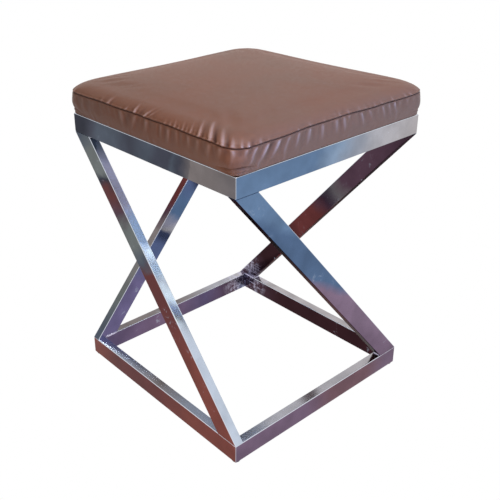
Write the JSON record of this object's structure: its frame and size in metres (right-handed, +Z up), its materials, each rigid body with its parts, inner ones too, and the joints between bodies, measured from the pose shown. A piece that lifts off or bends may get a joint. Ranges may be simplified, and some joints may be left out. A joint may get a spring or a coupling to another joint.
{
  "type": "x frame stool",
  "caption": "Square stool with a boxed brown leather cushion on a polished rectangular-tube frame: top and bottom squares joined by one slanted bar on each side.",
  "frame": {"origin": "on the floor, under the middle of the seat", "axes": "+Z up; -Y is the front side and +X the right side, each square to a side of the square frame"},
  "size_m": [0.384, 0.384, 0.5065],
  "materials": {
    "polished_steel": "polished",
    "steel_plate": "satin",
    "weld_metal": "satin",
    "zinc_plate": "satin",
    "staple_steel": "satin",
    "nylon": "matte",
    "plywood": "matte",
    "brown_leather": "satin",
    "foam": "matte",
    "grey_cloth": "matte"
  },
  "bodies": {
    "root": {"top_rail_front": "polished_steel", "bottom_rail_front": "polished_steel", "slanted_bar_front": "polished_steel", "top_rail_right": "polished_steel", "bottom_rail_right": "polished_steel", "slanted_bar_right": "polished_steel", "top_rail_back": "polished_steel", "bottom_rail_back": "polished_steel", "slanted_bar_back": "polished_steel", "top_rail_left": "polished_steel", "bottom_rail_left": "polished_steel", "slanted_bar_left": "polished_steel", "corner_plate_front_right": "steel_plate", "floor_glide_front_right": "nylon", "corner_plate_back_right": "steel_plate", "floor_glide_back_right": "nylon", "corner_plate_back_left": "steel_plate", "floor_glide_back_left": "nylon", "corner_plate_front_left": "steel_plate", "floor_glide_front_left": "nylon", "bar_foot_welds": "weld_metal", "bar_head_welds": "weld_metal", "plate_welds": "weld_metal", "seat_screws": "zinc_plate", "screw_washers": "zinc_plate", "seat_nuts": "zinc_plate", "seat_board": "plywood", "cover_boxing": "brown_leather", "cover_top_panel": "brown_leather", "foam_pad": "foam", "dust_cover": "grey_cloth", "staples": "staple_steel"}
  },
  "joints": []
}
